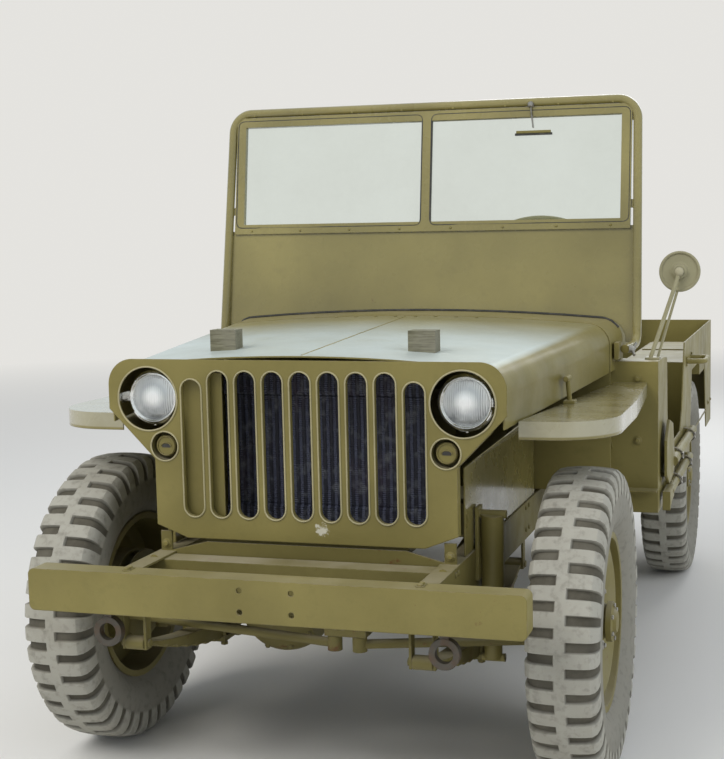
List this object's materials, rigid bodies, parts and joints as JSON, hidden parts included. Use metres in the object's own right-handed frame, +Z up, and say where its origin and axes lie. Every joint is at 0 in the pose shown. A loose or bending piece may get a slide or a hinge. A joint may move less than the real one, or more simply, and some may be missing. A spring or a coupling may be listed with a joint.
{
  "type": "army 4x4 car",
  "caption": "Open four-wheel-drive army car with slotted grille, fold-down windshield, hinged hood, flat fenders, steered front wheels, rear bench and spare wheel.",
  "frame": {"origin": "on the ground under the middle of the car's length and width", "axes": "+Z up, -Y forwards, +X towards the car's own left"},
  "size_m": [1.603, 3.3361, 1.69],
  "materials": {
    "olive_paint": "satin olive drab",
    "tyre_rubber": "dusty",
    "black_metal": "satin",
    "canvas": "heavy canvas",
    "bare_wood": "weathered",
    "clear_glass": "clear",
    "lamp_metal": "bright",
    "core_metal": "dark"
  },
  "bodies": {
    "chassis": {"chassis_frame": "olive_paint", "bumpers": "olive_paint", "towing_fittings": "olive_paint", "front_axle": "olive_paint", "rear_axle": "olive_paint", "leaf_springs": "olive_paint", "shock_absorbers": "olive_paint", "steering_box": "olive_paint", "steering_column": "olive_paint", "engine_block": "core_metal", "gearbox": "core_metal", "propeller_shafts": "olive_paint", "exhaust": "core_metal", "radiator": "core_metal", "radiator_baffle": "olive_paint", "fuel_tank": "olive_paint", "body_tub": "olive_paint", "front_fenders": "olive_paint", "grille": "olive_paint", "headlamps": "lamp_metal", "headlamp_lenses": "clear_glass", "small_lamps": "olive_paint", "mirror": "olive_paint", "side_fittings": "olive_paint", "pioneer_tools": "olive_paint", "spare_carrier": "olive_paint", "spare_tyre": "tyre_rubber", "spare_rim": "olive_paint", "dashboard": "olive_paint", "pedals_and_levers": "olive_paint", "driver_seat_frame": "olive_paint", "driver_seat_cushions": "canvas", "rear_seat_frame": "olive_paint", "rear_seat_cushion": "canvas"},
    "left_knuckle": {"left_knuckle": "olive_paint"},
    "right_knuckle": {"right_knuckle": "olive_paint"},
    "front_left_wheel": {"front_left_tyre": "tyre_rubber", "front_left_rim": "olive_paint"},
    "front_right_wheel": {"front_right_tyre": "tyre_rubber", "front_right_rim": "olive_paint"},
    "rear_left_wheel": {"rear_left_tyre": "tyre_rubber", "rear_left_rim": "olive_paint"},
    "rear_right_wheel": {"rear_right_tyre": "tyre_rubber", "rear_right_rim": "olive_paint"},
    "bell_crank": {"bell_crank": "olive_paint"},
    "left_tie_rod": {"left_tie_rod": "olive_paint"},
    "right_tie_rod": {"right_tie_rod": "olive_paint"},
    "pitman_arm": {"pitman_arm": "olive_paint"},
    "drag_link": {"drag_link": "olive_paint"},
    "steering_wheel": {"steering_wheel": "olive_paint"},
    "hood": {"hood": "olive_paint", "hood_blocks": "bare_wood"},
    "windshield": {"windshield_frame": "olive_paint", "windshield_glass": "clear_glass"},
    "passenger_seat": {"passenger_seat_frame": "olive_paint", "passenger_seat_cushions": "canvas"},
    "rear_seat_back": {"rear_seat_back": "canvas"},
    "glove_box_lid": {"glove_box_lid": "olive_paint"},
    "left_locker_lid": {"left_locker_lid": "olive_paint"},
    "right_locker_lid": {"right_locker_lid": "olive_paint"}
  },
  "joints": [
    {"name": "left_steer", "type": "hinge", "parent": "chassis", "child": "left_knuckle", "pos_m": [0.5, -1.163, 0.368], "axis": [0, 0, 1], "range_deg": [-26, 26]},
    {"name": "right_steer", "type": "hinge", "parent": "chassis", "child": "right_knuckle", "pos_m": [-0.5, -1.163, 0.368], "axis": [0, 0, 1], "range_deg": [-26, 26]},
    {"name": "bell_crank_turn", "type": "hinge", "parent": "chassis", "child": "bell_crank", "pos_m": [0.11, -1.283, 0.392], "axis": [0, 0, 1], "range_deg": [-26, 26]},
    {"name": "left_tie_rod_turn", "type": "hinge", "parent": "left_knuckle", "child": "left_tie_rod", "pos_m": [0.53, -1.335, 0.392], "axis": [0, 0, 1], "range_deg": [-26, 26]},
    {"name": "right_tie_rod_turn", "type": "hinge", "parent": "right_knuckle", "child": "right_tie_rod", "pos_m": [-0.53, -1.335, 0.392], "axis": [0, 0, 1], "range_deg": [-26, 26]},
    {"name": "pitman_arm_swing", "type": "hinge", "parent": "chassis", "child": "pitman_arm", "pos_m": [0.27, -0.80414, 0.62863], "axis": [1, 0, 0], "range_deg": [-26, 26]},
    {"name": "drag_link_turn", "type": "hinge", "parent": "pitman_arm", "child": "drag_link", "pos_m": [0.25, -0.80414, 0.48863], "axis": [1, 0, 0], "range_deg": [-26, 26]},
    {"name": "steering_wheel_turn", "type": "hinge", "parent": "chassis", "child": "steering_wheel", "pos_m": [0.335, -0.153, 1.175], "axis": [0, 0.766, 0.6428], "range_deg": [-364, 364]},
    {"name": "front_left_spin", "type": "hinge", "parent": "left_knuckle", "child": "front_left_wheel", "pos_m": [0.613, -1.163, 0.368], "axis": [1, 0, 0], "continuous": true},
    {"name": "front_right_spin", "type": "hinge", "parent": "right_knuckle", "child": "front_right_wheel", "pos_m": [-0.613, -1.163, 0.368], "axis": [1, 0, 0], "continuous": true},
    {"name": "rear_left_spin", "type": "hinge", "parent": "chassis", "child": "rear_left_wheel", "pos_m": [0.613, 0.869, 0.368], "axis": [1, 0, 0], "continuous": true},
    {"name": "rear_right_spin", "type": "hinge", "parent": "chassis", "child": "rear_right_wheel", "pos_m": [-0.613, 0.869, 0.368], "axis": [1, 0, 0], "continuous": true},
    {"name": "hood_hinge", "type": "hinge", "parent": "chassis", "child": "hood", "pos_m": [0, -0.564, 1.064], "axis": [-1, 0, 0], "range_deg": [0, 108]},
    {"name": "windshield_fold", "type": "hinge", "parent": "chassis", "child": "windshield", "pos_m": [0, -0.518, 0.965], "axis": [-1, 0, 0], "range_deg": [-96.5, 0]},
    {"name": "passenger_seat_tip", "type": "hinge", "parent": "chassis", "child": "passenger_seat", "pos_m": [-0.33, -0.073, 0.5823], "axis": [1, 0, 0], "range_deg": [0, 50]},
    {"name": "rear_seat_back_fold", "type": "hinge", "parent": "chassis", "child": "rear_seat_back", "pos_m": [0, 1.241, 0.836], "axis": [1, 0, 0], "range_deg": [0, 84]},
    {"name": "glove_box_hinge", "type": "hinge", "parent": "chassis", "child": "glove_box_lid", "pos_m": [-0.33, -0.419, 0.892], "axis": [-1, 0, 0], "range_deg": [0, 95]},
    {"name": "left_locker_hinge", "type": "hinge", "parent": "chassis", "child": "left_locker_lid", "pos_m": [0.693, 1.137, 0.8443], "axis": [0, 1, 0], "range_deg": [0, 80]},
    {"name": "right_locker_hinge", "type": "hinge", "parent": "chassis", "child": "right_locker_lid", "pos_m": [-0.693, 1.137, 0.8443], "axis": [0, -1, 0], "range_deg": [0, 80]}
  ],
  "couplings": [
    {"joint": "right_steer", "follows": "left_steer", "ratio": 1},
    {"joint": "bell_crank_turn", "follows": "left_steer", "ratio": 1},
    {"joint": "left_tie_rod_turn", "follows": "left_steer", "ratio": -1},
    {"joint": "right_tie_rod_turn", "follows": "left_steer", "ratio": -1},
    {"joint": "pitman_arm_swing", "follows": "left_steer", "ratio": 1},
    {"joint": "drag_link_turn", "follows": "left_steer", "ratio": -1},
    {"joint": "steering_wheel_turn", "follows": "left_steer", "ratio": 14}
  ]
}
